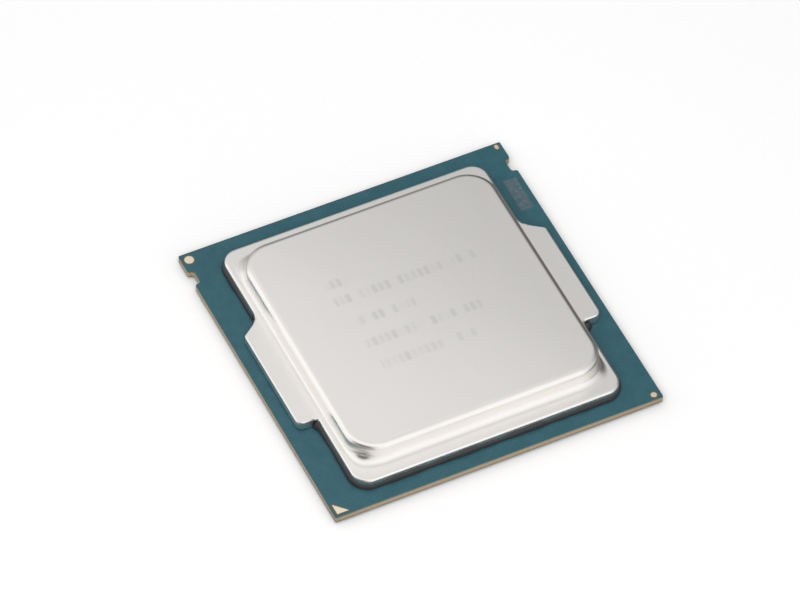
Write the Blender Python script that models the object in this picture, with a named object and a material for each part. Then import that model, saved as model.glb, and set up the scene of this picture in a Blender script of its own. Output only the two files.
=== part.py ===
"""A desktop processor: a land grid array package with a stepped metal heat spreader.

Frame, in metres: +Z points up out of the lid, +Y towards the edge with the two key
notches near it, +X to the right. The origin lies under the board's centre, at the level
of the land-side capacitors' faces, which are the lowest points of the package.
"""

import math

import bmesh
import bpy
from mathutils import Vector

MM = 0.001

# Driving dimensions, in millimetres.
BOARD_SIDE = 37.5
BOARD_CORNER_RADIUS = 0.15
MASK_THICKNESS = 0.02
BUILDUP_THICKNESS = 0.15
COPPER_THICKNESS = 0.03
CORE_THICKNESS = 0.40
COPPER_PULLBACK = 0.3

NOTCH_FROM_BACK = 3.3
NOTCH_WIDTH = 1.7
NOTCH_DEPTH = 0.65
NOTCH_FLOOR_RADIUS = 0.35
NOTCH_MOUTH_RADIUS = 0.25

SPREADER_OFFSET_Y = -0.25
FLANGE_HALF_X = 15.25
FLANGE_HALF_Y = 16.6
FLANGE_CORNER_RADIUS = 1.8
FLANGE_THICKNESS = 1.15
FLANGE_EDGE_CHAMFER = 0.25

EAR_HALF_X = 17.45
EAR_FRONT_Y = -7.05
EAR_BACK_OUTER_Y = 5.75
EAR_BACK_ROOT_Y = 7.3
EAR_FRONT_RADIUS = 0.8
EAR_BACK_RADIUS = 0.5
EAR_FRONT_ROOT_RADIUS = 0.4
EAR_BACK_ROOT_RADIUS = 2.2

PLATEAU_HALF_X = 14.45
PLATEAU_HALF_Y = 14.6
PLATEAU_CORNER_RADIUS = 3.4
PLATEAU_RISE = 2.25
PLATEAU_EDGE_RADIUS = 0.8

POCKET_HALF_X = 12.5
POCKET_HALF_Y = 13.4
POCKET_CORNER_RADIUS = 2.4

SEALANT_THICKNESS = 0.10
SEALANT_REACH = 0.25
SEALANT_WIDTH = 2.1
SEALANT_INNER_RADIUS = 0.3
SEALANT_VENT_WIDTH = 3.0

DIE_SIZE_X = 9.2
DIE_SIZE_Y = 13.3
DIE_THICKNESS = 0.43
BUMP_HEIGHT = 0.07
BUMP_FIELD_INSET = 0.25
THERMAL_THICKNESS = 0.06
THERMAL_OVERHANG = 0.4
UNDERFILL_REACH = 0.9
UNDERFILL_HEIGHT = 0.30
UNDERFILL_FOOT_RADIUS = 0.8
UNDERFILL_LIP = 0.15
UNDERFILL_LIP_RADIUS = 0.2
DIE_CORNER_RADIUS = 0.05

LAND_PITCH = 0.9144
LANDS_PER_SIDE = 40
WINDOW_LANDS_X = 16
WINDOW_LANDS_Y = 24
LAND_THICKNESS = 0.02
LAND_SIZE = 0.60
LAND_FIELD_CORNER_CUT = 2.4
LAND_FIELD_NOTCH_MARGIN = 0.45

CAPACITOR_LENGTH = 1.6
CAPACITOR_WIDTH = 0.85
CAPACITOR_HEIGHT = 0.5
CAPACITOR_COLUMNS = 4
CAPACITOR_ROWS = 5
CAPACITOR_PITCH_X = 3.2
CAPACITOR_PITCH_Y = 3.6
CAPACITOR_EDGE_RADIUS = 0.06

MARK_THICKNESS = 0.015
PIN_ONE_LEG = 1.3
PIN_ONE_INSET = 0.37

# Corner pads. A centre is measured from the nearest side and front or back edge. A round
# pad's four arcs fall a little short of its radius, which keeps their ends apart.
ROUND_PAD_ARC_SHARE = 0.99
BACK_LEFT_PAD_RADIUS = 0.5
BACK_LEFT_PAD_CENTRE = (0.85, 0.9)
FRONT_RIGHT_PAD_RADIUS = 0.32
FRONT_RIGHT_PAD_CENTRE = (0.8, 0.62)
BACK_RIGHT_PAD_HALF_SIZE = (0.2, 0.3)
BACK_RIGHT_PAD_RADIUS = 0.1
BACK_RIGHT_PAD_CENTRE = (0.6, 0.5)

CODE_PATCH_HALF_SIZE = (0.75, 2.2)
CODE_PATCH_RADIUS = 0.1
CODE_PATCH_FROM_SIDE = 1.4
CODE_PATCH_Y = 11.55

# Clearance left between pieces that touch in the real package.
GAP = 0.005

ARC_STEPS = 6

# Levels above the origin, in millimetres.
BOARD_BOTTOM = CAPACITOR_HEIGHT
LOWER_BUILDUP_Z = BOARD_BOTTOM + MASK_THICKNESS
LOWER_COPPER_Z = LOWER_BUILDUP_Z + BUILDUP_THICKNESS
CORE_Z = LOWER_COPPER_Z + COPPER_THICKNESS
UPPER_COPPER_Z = CORE_Z + CORE_THICKNESS
UPPER_BUILDUP_Z = UPPER_COPPER_Z + COPPER_THICKNESS
UPPER_MASK_Z = UPPER_BUILDUP_Z + BUILDUP_THICKNESS
BOARD_TOP = UPPER_MASK_Z + MASK_THICKNESS
SPREADER_BOTTOM = BOARD_TOP + SEALANT_THICKNESS
FLANGE_TOP = SPREADER_BOTTOM + FLANGE_THICKNESS
PLATEAU_TOP = FLANGE_TOP + PLATEAU_RISE
DIE_BOTTOM = BOARD_TOP + BUMP_HEIGHT
DIE_TOP = DIE_BOTTOM + DIE_THICKNESS
POCKET_CEILING = DIE_TOP + THERMAL_THICKNESS

COLOURS = {
    "fibreglass": ((0.55, 0.43, 0.24), 0.6, 0.0),
    "buildup_resin": ((0.42, 0.35, 0.22), 0.55, 0.0),
    "solder_mask": ((0.016, 0.115, 0.145), 0.35, 0.0),
    "copper": ((0.75, 0.36, 0.20), 0.3, 1.0),
    "nickel_plate": ((0.66, 0.64, 0.61), 0.32, 1.0),
    "sealant": ((0.012, 0.012, 0.013), 0.5, 0.0),
    "silicon": ((0.10, 0.11, 0.13), 0.12, 0.4),
    "thermal_paste": ((0.45, 0.46, 0.47), 0.7, 0.0),
    "underfill": ((0.10, 0.07, 0.04), 0.3, 0.0),
    "solder": ((0.60, 0.60, 0.62), 0.35, 1.0),
    "gold": ((0.85, 0.62, 0.28), 0.25, 1.0),
    "ceramic": ((0.33, 0.21, 0.13), 0.45, 0.0),
    "laser_mark": ((0.30, 0.36, 0.36), 0.6, 0.0),
}


def clear_scene():
    for old in list(bpy.data.objects):
        bpy.data.objects.remove(old, do_unlink=True)


def make_material(name):
    colour, roughness, metallic = COLOURS[name]
    material = bpy.data.materials.new(name)
    material.use_nodes = True
    shader = material.node_tree.nodes["Principled BSDF"]
    shader.inputs["Base Color"].default_value = (*colour, 1.0)
    shader.inputs["Roughness"].default_value = roughness
    shader.inputs["Metallic"].default_value = metallic
    return material


def get_material(name):
    return bpy.data.materials.get(name) or make_material(name)


def rounded_outline(corners, steps=ARC_STEPS):
    """Points round a polygon whose corners, (x, y, radius), are turned into arcs."""
    points = []
    count = len(corners)
    for index, (x, y, radius) in enumerate(corners):
        here = Vector((x, y))
        before = Vector(corners[index - 1][:2])
        after = Vector(corners[(index + 1) % count][:2])
        if radius <= 0:
            points.append(here)
            continue
        to_before = (before - here).normalized()
        to_after = (after - here).normalized()
        half_angle = to_before.angle(to_after) / 2
        centre = here + (to_before + to_after).normalized() * (radius / math.sin(half_angle))
        start = here + to_before * (radius / math.tan(half_angle)) - centre
        turn = math.pi - 2 * half_angle
        if to_before.x * to_after.y - to_before.y * to_after.x > 0:
            turn = -turn
        for step in range(steps + 1):
            angle = turn * step / steps
            spoke = Vector((
                start.x * math.cos(angle) - start.y * math.sin(angle),
                start.x * math.sin(angle) + start.y * math.cos(angle),
            ))
            points.append(centre + spoke)
    return points


def inset_corners(corners, distance):
    """The same rounded polygon, counter-clockwise, moved inwards by a distance."""
    moved = []
    count = len(corners)
    for index, (x, y, radius) in enumerate(corners):
        here = Vector((x, y))
        along_in = (here - Vector(corners[index - 1][:2])).normalized()
        along_out = (Vector(corners[(index + 1) % count][:2]) - here).normalized()
        inward_in = Vector((-along_in.y, along_in.x))
        inward_out = Vector((-along_out.y, along_out.x))
        mitre = (inward_in + inward_out) / (1 + inward_in.dot(inward_out))
        is_convex = along_in.x * along_out.y - along_in.y * along_out.x > 0
        new_radius = radius - distance if is_convex else radius + distance
        corner = here + mitre * distance
        moved.append((corner.x, corner.y, max(new_radius, 0.01) if radius > 0 else 0))
    return moved


def shifted(corners, offset_y):
    return [(x, y + offset_y, radius) for x, y, radius in corners]


def rectangle(half_x, half_y, radius=0.0, centre=(0.0, 0.0)):
    x, y = centre
    return [
        (x - half_x, y - half_y, radius),
        (x + half_x, y - half_y, radius),
        (x + half_x, y + half_y, radius),
        (x - half_x, y + half_y, radius),
    ]


def add_object(name, mesh_builder, material):
    mesh = bpy.data.meshes.new(name)
    bmesh.ops.recalc_face_normals(mesh_builder, faces=mesh_builder.faces)
    mesh_builder.to_mesh(mesh)
    mesh_builder.free()
    piece = bpy.data.objects.new(name, mesh)
    bpy.context.scene.collection.objects.link(piece)
    mesh.materials.append(get_material(material))
    return piece


def add_ring(mesh_builder, outline, z):
    return [mesh_builder.verts.new((p.x * MM, p.y * MM, z * MM)) for p in outline]


def bridge(mesh_builder, lower, upper):
    count = len(lower)
    for index in range(count):
        following = (index + 1) % count
        mesh_builder.faces.new((lower[index], lower[following], upper[following], upper[index]))


def loft(name, layers, material):
    """A closed solid through (outline, z) layers that have equal numbers of points."""
    builder = bmesh.new()
    rings = [add_ring(builder, outline, z) for outline, z in layers]
    for lower, upper in zip(rings, rings[1:]):
        bridge(builder, lower, upper)
    builder.faces.new(list(reversed(rings[0])))
    builder.faces.new(rings[-1])
    return add_object(name, builder, material)


def slab(name, outline, bottom, thickness, material):
    """A flat layer, held clear of its neighbours above and below."""
    return loft(name, [(outline, bottom + GAP), (outline, bottom + thickness - GAP)], material)


def make_helper(piece):
    piece.hide_render = True
    piece.display_type = "WIRE"
    return piece


def add_boolean(piece, helper, operation):
    modifier = piece.modifiers.new(helper.name, "BOOLEAN")
    modifier.operation = operation
    modifier.solver = "EXACT"
    modifier.object = make_helper(helper)


def notch_corners(side):
    """Corners of one key notch, in the order met going counter-clockwise."""
    edge = BOARD_SIDE / 2
    centre_y = edge - NOTCH_FROM_BACK
    half = NOTCH_WIDTH / 2
    corners = [
        (side * edge, centre_y - half, NOTCH_MOUTH_RADIUS),
        (side * (edge - NOTCH_DEPTH), centre_y - half, NOTCH_FLOOR_RADIUS),
        (side * (edge - NOTCH_DEPTH), centre_y + half, NOTCH_FLOOR_RADIUS),
        (side * edge, centre_y + half, NOTCH_MOUTH_RADIUS),
    ]
    return corners if side > 0 else corners[::-1]


def board_corners():
    edge = BOARD_SIDE / 2
    front_left, front_right, back_right, back_left = rectangle(edge, edge, BOARD_CORNER_RADIUS)
    right_notch, left_notch = notch_corners(1), notch_corners(-1)
    return [front_left, front_right, *right_notch, back_right, back_left, *left_notch]


def build_board():
    full = rounded_outline(board_corners())
    pulled_back = rounded_outline(inset_corners(board_corners(), COPPER_PULLBACK))
    slab("solder_mask_bottom", full, BOARD_BOTTOM, MASK_THICKNESS, "solder_mask")
    slab("buildup_layers_bottom", full, LOWER_BUILDUP_Z, BUILDUP_THICKNESS, "buildup_resin")
    slab("copper_plane_bottom", pulled_back, LOWER_COPPER_Z, COPPER_THICKNESS, "copper")
    slab("substrate_core", full, CORE_Z, CORE_THICKNESS, "fibreglass")
    slab("copper_plane_top", pulled_back, UPPER_COPPER_Z, COPPER_THICKNESS, "copper")
    slab("buildup_layers_top", full, UPPER_BUILDUP_Z, BUILDUP_THICKNESS, "buildup_resin")
    slab("solder_mask_top", full, UPPER_MASK_Z, MASK_THICKNESS, "solder_mask")


def flange_corners():
    """The spreader's flange, with a clamping ear in the middle of each side."""
    front_left, front_right, back_right, back_left = rectangle(
        FLANGE_HALF_X, FLANGE_HALF_Y, FLANGE_CORNER_RADIUS)
    right_ear = [
        (FLANGE_HALF_X, EAR_FRONT_Y, EAR_FRONT_ROOT_RADIUS),
        (EAR_HALF_X, EAR_FRONT_Y, EAR_FRONT_RADIUS),
        (EAR_HALF_X, EAR_BACK_OUTER_Y, EAR_BACK_RADIUS),
        (FLANGE_HALF_X, EAR_BACK_ROOT_Y, EAR_BACK_ROOT_RADIUS),
    ]
    left_ear = [(-x, y, radius) for x, y, radius in reversed(right_ear)]
    return [front_left, front_right, *right_ear, back_right, back_left, *left_ear]


def plateau_layers():
    """Straight walls and a quarter-round top edge, sunk half way into the flange."""
    corners = shifted(
        rectangle(PLATEAU_HALF_X, PLATEAU_HALF_Y, PLATEAU_CORNER_RADIUS), SPREADER_OFFSET_Y)
    layers = [(rounded_outline(corners), FLANGE_TOP - FLANGE_THICKNESS / 2)]
    for step in range(ARC_STEPS + 1):
        angle = math.pi / 2 * step / ARC_STEPS
        inset = PLATEAU_EDGE_RADIUS * (1 - math.cos(angle))
        drop = PLATEAU_EDGE_RADIUS * (1 - math.sin(angle))
        layers.append((rounded_outline(inset_corners(corners, inset)), PLATEAU_TOP - drop))
    return layers


def build_heat_spreader():
    corners = shifted(flange_corners(), SPREADER_OFFSET_Y)
    outline = rounded_outline(corners)
    chamfered = rounded_outline(inset_corners(corners, FLANGE_EDGE_CHAMFER))
    spreader = loft(
        "heat_spreader",
        [
            (outline, SPREADER_BOTTOM),
            (outline, FLANGE_TOP - FLANGE_EDGE_CHAMFER),
            (chamfered, FLANGE_TOP),
        ],
        "nickel_plate",
    )
    plateau = loft("plateau_shape", plateau_layers(), "nickel_plate")
    add_boolean(spreader, plateau, "UNION")

    pocket_outline = rounded_outline(shifted(
        rectangle(POCKET_HALF_X, POCKET_HALF_Y, POCKET_CORNER_RADIUS), SPREADER_OFFSET_Y))
    pocket_start = SPREADER_BOTTOM - FLANGE_THICKNESS
    pocket = loft(
        "pocket_shape",
        [(pocket_outline, pocket_start), (pocket_outline, POCKET_CEILING)],
        "nickel_plate",
    )
    add_boolean(spreader, pocket, "DIFFERENCE")


def open_at_back(half_x, half_y, radius):
    """A rectangle's corners, with a gap for the vent in the middle of its back side."""
    front_left, front_right, back_right, back_left = rectangle(half_x, half_y, radius)
    vent = SEALANT_VENT_WIDTH / 2
    return [(-vent, half_y, 0), back_left, front_left, front_right, back_right, (vent, half_y, 0)]


def build_sealant():
    """A bead squeezed out from under the flange, open at the back to vent the pocket."""
    outer_half_x = FLANGE_HALF_X + SEALANT_REACH
    outer_half_y = FLANGE_HALF_Y + SEALANT_REACH
    outer = open_at_back(outer_half_x, outer_half_y, FLANGE_CORNER_RADIUS + SEALANT_REACH)
    inner = open_at_back(
        outer_half_x - SEALANT_WIDTH, outer_half_y - SEALANT_WIDTH, SEALANT_INNER_RADIUS)
    outline = rounded_outline(shifted(outer + inner[::-1], SPREADER_OFFSET_Y))
    slab("lid_sealant_bead", outline, BOARD_TOP, SEALANT_THICKNESS, "sealant")


def build_underfill():
    """A sloped resin collar round the die, over the edge of the solder bumps."""
    half_x, half_y = DIE_SIZE_X / 2, DIE_SIZE_Y / 2
    inner = rounded_outline(rectangle(half_x + GAP, half_y + GAP, DIE_CORNER_RADIUS))
    foot = rounded_outline(rectangle(
        half_x + UNDERFILL_REACH, half_y + UNDERFILL_REACH, UNDERFILL_FOOT_RADIUS))
    lip = rounded_outline(rectangle(
        half_x + UNDERFILL_LIP, half_y + UNDERFILL_LIP, UNDERFILL_LIP_RADIUS))
    builder = bmesh.new()
    inner_low = add_ring(builder, inner, BOARD_TOP + GAP)
    foot_low = add_ring(builder, foot, BOARD_TOP + GAP)
    lip_high = add_ring(builder, lip, BOARD_TOP + UNDERFILL_HEIGHT)
    inner_high = add_ring(builder, inner, BOARD_TOP + UNDERFILL_HEIGHT)
    bridge(builder, inner_low, foot_low)
    bridge(builder, foot_low, lip_high)
    bridge(builder, lip_high, inner_high)
    bridge(builder, inner_high, inner_low)
    add_object("die_underfill", builder, "underfill")


def build_die_stack():
    half_x, half_y = DIE_SIZE_X / 2, DIE_SIZE_Y / 2
    bumps = rounded_outline(rectangle(half_x - BUMP_FIELD_INSET, half_y - BUMP_FIELD_INSET))
    die = rounded_outline(rectangle(half_x, half_y))
    paste = rounded_outline(
        rectangle(half_x + THERMAL_OVERHANG, half_y + THERMAL_OVERHANG, THERMAL_OVERHANG))
    slab("die_solder_bumps", bumps, BOARD_TOP, BUMP_HEIGHT, "solder")
    slab("silicon_die", die, DIE_BOTTOM, DIE_THICKNESS, "silicon")
    slab("thermal_interface", paste, DIE_TOP, THERMAL_THICKNESS, "thermal_paste")
    build_underfill()


def field_outline(low_x, low_y, high_x, high_y, cut_back=0.0, cut_front=0.0):
    """A rectangle whose two back or two front corners are cut off at 45 degrees."""
    corners = []
    if cut_front > 0:
        corners += [(low_x, low_y + cut_front, 0), (low_x + cut_front, low_y, 0)]
        corners += [(high_x - cut_front, low_y, 0), (high_x, low_y + cut_front, 0)]
    else:
        corners += [(low_x, low_y, 0), (high_x, low_y, 0)]
    if cut_back > 0:
        corners += [(high_x, high_y - cut_back, 0), (high_x - cut_back, high_y, 0)]
        corners += [(low_x + cut_back, high_y, 0), (low_x, high_y - cut_back, 0)]
    else:
        corners += [(high_x, high_y, 0), (low_x, high_y, 0)]
    return rounded_outline(corners)


def build_land_fields():
    """Four fields of contact lands round the window that holds the capacitors."""
    reach = (LANDS_PER_SIDE - 1) / 2 * LAND_PITCH + LAND_SIZE / 2
    window_x = (WINDOW_LANDS_X + 1) / 2 * LAND_PITCH - LAND_SIZE / 2
    window_y = (WINDOW_LANDS_Y + 1) / 2 * LAND_PITCH - LAND_SIZE / 2
    between_fields = LAND_PITCH - LAND_SIZE
    side_y = window_y - between_fields
    back_reach_x = BOARD_SIDE / 2 - NOTCH_DEPTH - LAND_FIELD_NOTCH_MARGIN
    cut = LAND_FIELD_CORNER_CUT
    fields = {
        "land_field_front": field_outline(-reach, -reach, reach, -window_y, cut_front=cut),
        "land_field_back": field_outline(
            -back_reach_x, window_y, back_reach_x, reach, cut_back=cut),
        "land_field_left": field_outline(-reach, -side_y, -window_x, side_y),
        "land_field_right": field_outline(window_x, -side_y, reach, side_y),
    }
    for name, outline in fields.items():
        slab(name, outline, BOARD_BOTTOM - LAND_THICKNESS, LAND_THICKNESS, "gold")


def build_capacitors():
    """Ceramic capacitors in rows, two columns on each side of the window's centre line."""
    number = 0
    for row in range(CAPACITOR_ROWS):
        for column in range(CAPACITOR_COLUMNS):
            number += 1
            x = (column - (CAPACITOR_COLUMNS - 1) / 2) * CAPACITOR_PITCH_X
            y = (row - (CAPACITOR_ROWS - 1) / 2) * CAPACITOR_PITCH_Y
            corners = rectangle(
                CAPACITOR_LENGTH / 2, CAPACITOR_WIDTH / 2, CAPACITOR_EDGE_RADIUS, (x, y))
            body = rounded_outline(corners, steps=2)
            slimmed = rounded_outline(inset_corners(corners, CAPACITOR_EDGE_RADIUS / 2), steps=2)
            layers = [
                (slimmed, 0.0),
                (body, CAPACITOR_EDGE_RADIUS / 2),
                (body, CAPACITOR_HEIGHT - GAP),
            ]
            loft(f"land_capacitor_{number:02d}", layers, "ceramic")


def pad_corners(half_size, radius, side_x, side_y, from_edges):
    """A pad near one corner of the board: side_x and side_y are 1 or -1."""
    edge = BOARD_SIDE / 2
    centre = (side_x * (edge - from_edges[0]), side_y * (edge - from_edges[1]))
    return rectangle(*half_size, radius, centre)


def round_pad(radius, side_x, side_y, from_edges):
    arc_radius = radius * ROUND_PAD_ARC_SHARE
    return pad_corners((radius, radius), arc_radius, side_x, side_y, from_edges)


def build_marks():
    """Bare pads and marks on the board's top face, outside the spreader."""
    near = -BOARD_SIDE / 2 + PIN_ONE_INSET
    far = near + PIN_ONE_LEG
    marks = {
        "pin_one_triangle": ([(near, near, 0), (far, near, 0), (near, far, 0)], "gold"),
        "fiducial_back_left": (
            round_pad(BACK_LEFT_PAD_RADIUS, -1, 1, BACK_LEFT_PAD_CENTRE), "gold"),
        "fiducial_front_right": (
            round_pad(FRONT_RIGHT_PAD_RADIUS, 1, -1, FRONT_RIGHT_PAD_CENTRE), "gold"),
        "fiducial_back_right": (
            pad_corners(BACK_RIGHT_PAD_HALF_SIZE, BACK_RIGHT_PAD_RADIUS, 1, 1,
                        BACK_RIGHT_PAD_CENTRE), "gold"),
        "unit_mark_patch": (
            rectangle(*CODE_PATCH_HALF_SIZE, CODE_PATCH_RADIUS,
                      (BOARD_SIDE / 2 - CODE_PATCH_FROM_SIDE, CODE_PATCH_Y)), "laser_mark"),
    }
    for name, (corners, material) in marks.items():
        outline = rounded_outline(corners)
        layers = [(outline, BOARD_TOP), (outline, BOARD_TOP + MARK_THICKNESS)]
        loft(name, layers, material)


def main():
    clear_scene()
    build_board()
    build_heat_spreader()
    build_sealant()
    build_die_stack()
    build_land_fields()
    build_capacitors()
    build_marks()


main()
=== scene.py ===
"""The looks of a desktop processor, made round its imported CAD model.

Lengths are in millimetres until a mesh is made, where they become metres. Levels and
outer sizes are read from the frame. The radii and small details that a box can't give
are the named values below.
"""

import math

import bmesh
import bpy
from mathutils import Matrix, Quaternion, Vector
from mathutils.geometry import delaunay_2d_cdt


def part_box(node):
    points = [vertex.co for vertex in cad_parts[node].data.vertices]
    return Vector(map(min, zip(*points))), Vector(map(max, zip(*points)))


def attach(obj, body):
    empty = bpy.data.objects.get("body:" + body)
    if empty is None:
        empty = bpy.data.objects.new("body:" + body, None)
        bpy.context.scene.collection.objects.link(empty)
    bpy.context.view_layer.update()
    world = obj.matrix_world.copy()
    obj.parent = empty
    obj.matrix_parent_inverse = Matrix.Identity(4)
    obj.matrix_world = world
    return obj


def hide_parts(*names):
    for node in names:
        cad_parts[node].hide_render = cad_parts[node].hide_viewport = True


MM = 0.001

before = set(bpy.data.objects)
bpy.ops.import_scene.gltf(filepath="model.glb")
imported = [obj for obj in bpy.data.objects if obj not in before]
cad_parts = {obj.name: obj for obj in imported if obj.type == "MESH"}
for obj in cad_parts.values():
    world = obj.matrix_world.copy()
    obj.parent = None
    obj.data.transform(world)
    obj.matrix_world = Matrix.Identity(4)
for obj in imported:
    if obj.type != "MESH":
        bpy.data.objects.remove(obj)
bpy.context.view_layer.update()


def low(node):
    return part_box(node)[0] / MM


def high(node):
    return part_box(node)[1] / MM


# Camera, aimed at a point a little behind and to the left of the lid's middle.
CAMERA_AZIMUTH = math.radians(-28.938)
CAMERA_ELEVATION = math.radians(51.275)
CAMERA_ROLL = math.radians(3.417)
CAMERA_DISTANCE = 751.5
CAMERA_TARGET = Vector((-1.086, 2.426, 2.5))
CAMERA_LENS = 326.9
CAMERA_SENSOR = 36.0
TOWARDS_CAMERA = Vector((
    math.sin(CAMERA_AZIMUTH) * math.cos(CAMERA_ELEVATION),
    -math.cos(CAMERA_AZIMUTH) * math.cos(CAMERA_ELEVATION),
    math.sin(CAMERA_ELEVATION),
))

# Levels of the board's layers. The CAD keeps a small gap between neighbouring solids.
GAP = 0.005
BOARD_BOTTOM = low("solder_mask_bottom").z - GAP
LOWER_BUILDUP_Z = low("buildup_layers_bottom").z - GAP
LOWER_COPPER_Z = low("copper_plane_bottom").z - GAP
CORE_Z = low("substrate_core").z - GAP
UPPER_COPPER_Z = low("copper_plane_top").z - GAP
UPPER_BUILDUP_Z = low("buildup_layers_top").z - GAP
UPPER_MASK_Z = low("solder_mask_top").z - GAP
BOARD_TOP = high("solder_mask_top").z + GAP

# The board's outline, with a key notch in each side near the back.
BOARD_HALF = high("substrate_core").x
BOARD_CORNER_RADIUS = 0.15
BOARD_EDGE_RADIUS = 0.012
COPPER_PULLBACK = BOARD_HALF - high("copper_plane_top").x
NOTCH_FROM_BACK = 3.3
NOTCH_WIDTH = 1.7
NOTCH_DEPTH = 0.65
NOTCH_FLOOR_RADIUS = 0.35
NOTCH_MOUTH_RADIUS = 0.25

# The lid: a flange with an ear on each side, and a raised top. Each y of an ear is from
# the lid's centre.
LID_BOTTOM = low("heat_spreader").z
LID_TOP = high("heat_spreader").z
LID_CENTRE_Y = (low("heat_spreader").y + high("heat_spreader").y) / 2
FLANGE_HALF_X = 15.25
FLANGE_HALF_Y = (high("heat_spreader").y - low("heat_spreader").y) / 2
FLANGE_CORNER_RADIUS = 1.8
FLANGE_TOP = LID_BOTTOM + 1.15
FLANGE_TOP_RADIUS = 0.28
FLANGE_BOTTOM_RADIUS = 0.12
EAR_EDGE_SHARPNESS = 0.4
EAR_HALF_X = high("heat_spreader").x
EAR_FRONT_Y = -7.05
EAR_BACK_OUTER_Y = 5.75
EAR_BACK_ROOT_Y = 7.3
EAR_FRONT_RADIUS = 0.8
EAR_BACK_RADIUS = 0.5
EAR_FRONT_ROOT_RADIUS = 0.4
EAR_BACK_ROOT_RADIUS = 2.2
EAR_BACK_FILLET_END_Y = 8.2
PLATEAU_HALF_X = 14.45
PLATEAU_HALF_Y = 14.6
PLATEAU_CORNER_RADIUS = 3.4
PLATEAU_CORNER_STEPS = 24
PLATEAU_EDGE_RADIUS = 0.65
PLATEAU_EDGE_STEPS = 16
SIDE_FOOT_RADIUS = 0.3
FRONT_FOOT_RADIUS = 0.9
CORNER_FOOT_SWELL = 0.6
FOOT_RINGS = 14
PLATEAU_DRAFT = 0.05
TOP_CROWN = 0.07
TOP_RINGS = 12
POCKET_HALF_X = 12.5
POCKET_HALF_Y = 13.4
POCKET_CORNER_RADIUS = 2.4
POCKET_CEILING = high("thermal_interface").z + GAP
POCKET_EDGE_RADIUS = 0.1
POCKET_EDGE_STEPS = 4

# How far behind a rounded edge a flat face gets a ring of its own, to stay flat in shading.
SUPPORT = 0.03

# What a rounded corner keeps of its radius when an outline is inset by more than that.
SMALLEST_RADIUS = 0.005

# The bead of silicone between the lid's rim and the board. Its climb up the rim's outer wall is
# partly squeezed-out silicone and partly painted shade: a black band where the wall is dark from
# shadow and reflection.
BEAD_INNER_INSET = 1.85
BEAD_REACH = high("lid_sealant_bead").x - FLANGE_HALF_X
BEAD_SHADE_CLIMB = 0.5
# The climb at an ear's front root, partly painted shade.
BEAD_ROOT_SHADE_CLIMB = 0.35
BEAD_ROOT_LENGTH = 0.8
BEAD_WOBBLE = 0.035
BEAD_CLIMB_WOBBLE = 0.2
BEAD_FULLNESS = 0.8
BEAD_SECTION_STEPS = 8
BEAD_STEP = 0.25
BEAD_VENT_HALF = 1.5

# The waves whose sum is the bead's unevenness: radians per millimetre, start, share.
BEAD_WAVES = ((0.9, 0.0, 1.0), (2.3, 1.0, 0.6))

# Where more black silicone heaps beside an ear's front root, partly as painted shade at the root:
# side, extra reach.
BEAD_ROOT_SHADE_SWELLS = ((1, 0.8), (-1, 0.35))

# Contact lands on the underside.
LAND_PITCH = 0.9144
LANDS_PER_SIDE = 40
WINDOW_LANDS_X = 16
WINDOW_LANDS_Y = 24
LAND_HALF_X = 0.32
LAND_HALF_Y = 0.26
LAND_RADIUS = 0.14
LAND_EDGE_RADIUS = 0.008
LAND_CORNER_STEPS = 3
LAND_CORNER_SKIP = 3
LAND_NOTCH_MARGIN = 0.45

# Land-side capacitors.
TERMINAL_LENGTH = 0.34
TERMINAL_PROUD = 0.015
CERAMIC_EDGE_RADIUS = 0.05
CAPACITOR_STEPS = 4

# The solder's flare where a terminal meets the board: outwards, and distance from the board.
SOLDER_FLARE = ((0.0, 0.12), (0.05, 0.04), (0.12, GAP / 10))

# Marks on the board's top face. The clearance is the opening in the mask round a gold one.
MARK_EDGE_RADIUS = 0.006
MARK_CORNER_STEPS = 16
TRIANGLE_SQUARE_CORNER_RADIUS = 0.06
TRIANGLE_TIP_RADIUS = 0.03
PAD_ROUNDNESS = 0.98
UNIT_MARK_RADIUS = 0.12
DOT_PITCH = 0.12
DOTS_LEFT_OUT = 0.45
CLEARANCE_MARGIN = 0.13
CLEARANCE_HEIGHT = 0.004

# Plain bars etched on the lid's top: middle y, first x and last x.
ETCHED_ROWS = (
    (6.2, -7.9, -5.2),
    (3.9, -7.9, 10.4),
    (0.7, -7.4, -0.3),
    (-2.3, -7.4, 5.9),
    (-5.4, -7.0, 3.9),
)
ETCHED_ROW_HALF_HEIGHT = 0.55
ETCHED_BAR_PITCH = 0.75
ETCHED_BAR_HALF_WIDTH = 0.25
ETCHED_SOFTNESS = 0.09
ETCHED_LOWEST_Z = LID_TOP - 0.2

# A bar's strength rises from none to full as its random number goes from one to the other.
ETCHED_CHANCE_FROM = 0.1
ETCHED_CHANCE_TO = 0.8

# Fine scratches: their noise's scale along, across and up, and the values where they show.
SCRATCH_STRETCH = (0.16, 9.0, 1.0)
SCRATCH_FROM = 0.74
SCRATCH_TO = 0.80

# Traces under the mask, in diagonal lines.
TRACE_DEGREES = 45
TRACE_HALF_PITCH = 0.17

# Every noise's roughness, and the range in which nearly all of its values lie.
NOISE_ROUGHNESS = 0.55
NOISE_LOW = 0.3
NOISE_HIGH = 0.7

# Colours of the lid, the board and the unit mark.
NICKEL_DULL = (0.925, 0.900, 0.868)
NICKEL_BRIGHT = (0.955, 0.932, 0.900)
ETCHED_GREY = (0.80, 0.78, 0.75)
MASK_DARK = (0.013, 0.066, 0.087)
MASK_LIGHT = (0.028, 0.103, 0.124)
MASK_OVER_TRACE = (0.034, 0.118, 0.138)
MASK_OVER_VIA = (0.008, 0.048, 0.060)
UNIT_MARK_GROUND = (0.020, 0.084, 0.105)
UNIT_MARK_DARK = (0.04, 0.088, 0.108)
UNIT_MARK_PALE = (0.16, 0.135, 0.162)

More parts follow.
